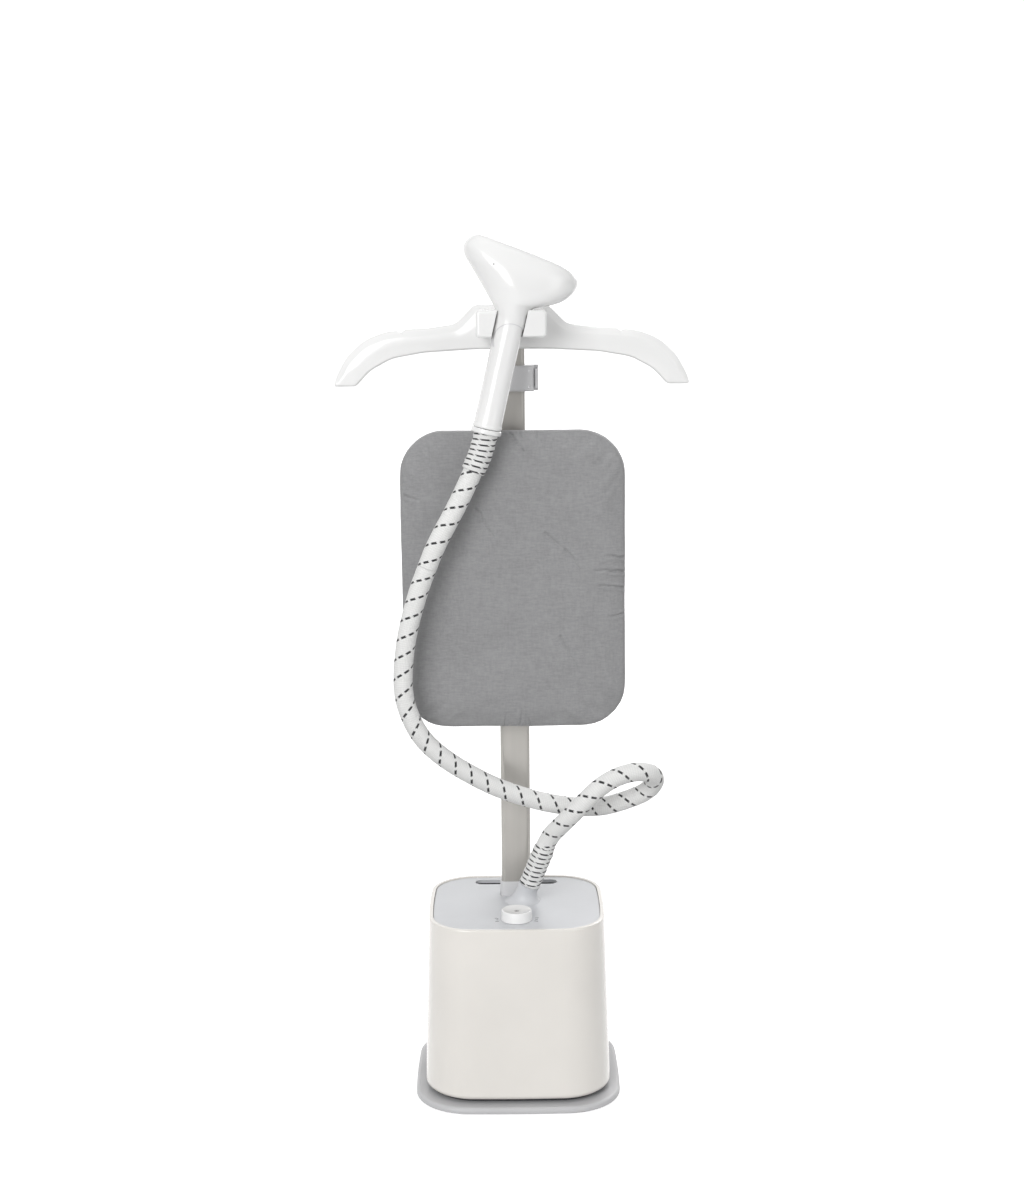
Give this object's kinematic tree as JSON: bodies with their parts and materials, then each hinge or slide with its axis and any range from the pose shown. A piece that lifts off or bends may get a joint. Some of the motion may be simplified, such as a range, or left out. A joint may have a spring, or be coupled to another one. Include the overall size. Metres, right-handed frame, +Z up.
{
  "type": "garment steamer",
  "caption": "Upright garment steamer: boiler base with lift-out tank, telescopic mast, hanger, padded board, and a steam handset on a braided hose.",
  "frame": {"origin": "on the floor under the middle of the foot tray", "axes": "+Z up; the front, with the steam knob and the handset, faces -Y; +X to the right seen from the front"},
  "size_m": [0.4476, 0.256, 1.097],
  "materials": {
    "white_gloss": "glossy white moulded plastic",
    "cream_gloss": "glossy warm off-white moulded plastic",
    "lid_grey": "satin cool grey moulded plastic",
    "tray_grey": "satin grey moulded plastic",
    "pole_metal": "satin grey-beige paint on steel tube",
    "bracket_grey": "satin grey moulded plastic",
    "board_fabric": "brushed grey felt-like cover over thin foam",
    "board_core": "matt dark grey board",
    "black_rubber": "soft black rubber",
    "dark_plastic": "matt dark plastic",
    "steel": "bright zinc-plated steel",
    "boiler_metal": "cast aluminium",
    "pipe_silicone": "translucent silicone tube",
    "tank_clear": "smoky translucent plastic",
    "hose_braid": "white braided sleeve with short black flecks"
  },
  "bodies": {
    "base": {"base_tray": "tray_grey", "rubber_feet": "black_rubber", "tray_screws": "steel", "chassis": "dark_plastic", "housing_shell": "cream_gloss", "lid_panel": "lid_grey", "grip_pocket": "dark_plastic", "pole_socket": "bracket_grey", "hose_outlet_cone": "lid_grey", "hose_cuff_lower": "hose_braid", "selector_switch": "dark_plastic", "boiler_body": "boiler_metal", "boiler_gasket": "black_rubber", "boiler_cover": "boiler_metal", "boiler_screws": "steel", "heating_element": "steel", "thermostat": "steel", "thermal_fuse": "dark_plastic", "steam_pipe": "pipe_silicone", "pump": "dark_plastic", "water_pipe": "pipe_silicone", "tank_coupler": "dark_plastic", "tank_shelf": "dark_plastic", "cord_gland": "black_rubber", "terminal_block": "dark_plastic", "lower_pole": "pole_metal", "guide_bush": "dark_plastic", "mast_clamp_collar": "bracket_grey", "mast_lever_pin": "steel", "hose_lower": "hose_braid"},
    "mast": {"upper_pole": "pole_metal", "pole_foot": "dark_plastic", "hanger_front": "white_gloss", "hanger_rear": "white_gloss", "hanger_screws": "steel", "handset_cradle": "white_gloss", "hose_upper": "hose_braid"},
    "handset": {"handset_handle": "white_gloss", "head_shell": "white_gloss", "plate_seal": "black_rubber", "steam_plate": "boiler_metal", "steam_tube": "pipe_silicone", "handle_end_ring": "white_gloss", "hose_cuff_upper": "hose_braid"},
    "carriage": {"carriage_collar": "bracket_grey", "collar_plate": "bracket_grey", "collar_screws": "steel", "carriage_lever_pin": "steel", "carriage_spine": "bracket_grey", "board_mount": "bracket_grey", "board_screws": "steel", "board_panel": "board_core", "board_pad": "board_fabric"},
    "carriage_lever": {"carriage_lever": "bracket_grey"},
    "mast_lever": {"mast_lever": "dark_plastic"},
    "knob": {"steam_knob": "white_gloss", "knob_shaft": "steel"},
    "tank": {"water_tank": "tank_clear", "tank_valve": "dark_plastic"},
    "cap": {"tank_cap": "dark_plastic"}
  },
  "joints": [
    {"name": "mast_slide", "type": "slide", "parent": "base", "child": "mast", "axis": [0, 0, 1], "range_m": [0, 0.36], "deforming": ["hose_lower", "hose_upper"]},
    {"name": "carriage_slide", "type": "slide", "parent": "mast", "child": "carriage", "axis": [0, 0, 1], "range_m": [-0.04, 0]},
    {"name": "carriage_lever_hinge", "type": "hinge", "parent": "carriage", "child": "carriage_lever", "pos_m": [0.031, 0.049, 0.916], "axis": [0, 0, 1], "range_deg": [0, 90]},
    {"name": "mast_lever_hinge", "type": "hinge", "parent": "base", "child": "mast_lever", "pos_m": [0.023, 0.057, 0.627], "axis": [0, 0, -1], "range_deg": [0, 90]},
    {"name": "handset_lift", "type": "slide", "parent": "mast", "child": "handset", "axis": [0, -1, 0], "range_m": [0, 0.12]},
    {"name": "knob_turn", "type": "hinge", "parent": "base", "child": "knob", "pos_m": [0, -0.063, 0.243], "axis": [0, 0, 1], "range_deg": [-60, 60]},
    {"name": "tank_slide", "type": "slide", "parent": "base", "child": "tank", "axis": [0, 1, 0], "range_m": [0, 0.08]},
    {"name": "cap_turn", "type": "hinge", "parent": "tank", "child": "cap", "pos_m": [0, 0.078, 0.205], "axis": [0, 0, 1], "range_deg": [0, 90]}
  ]
}
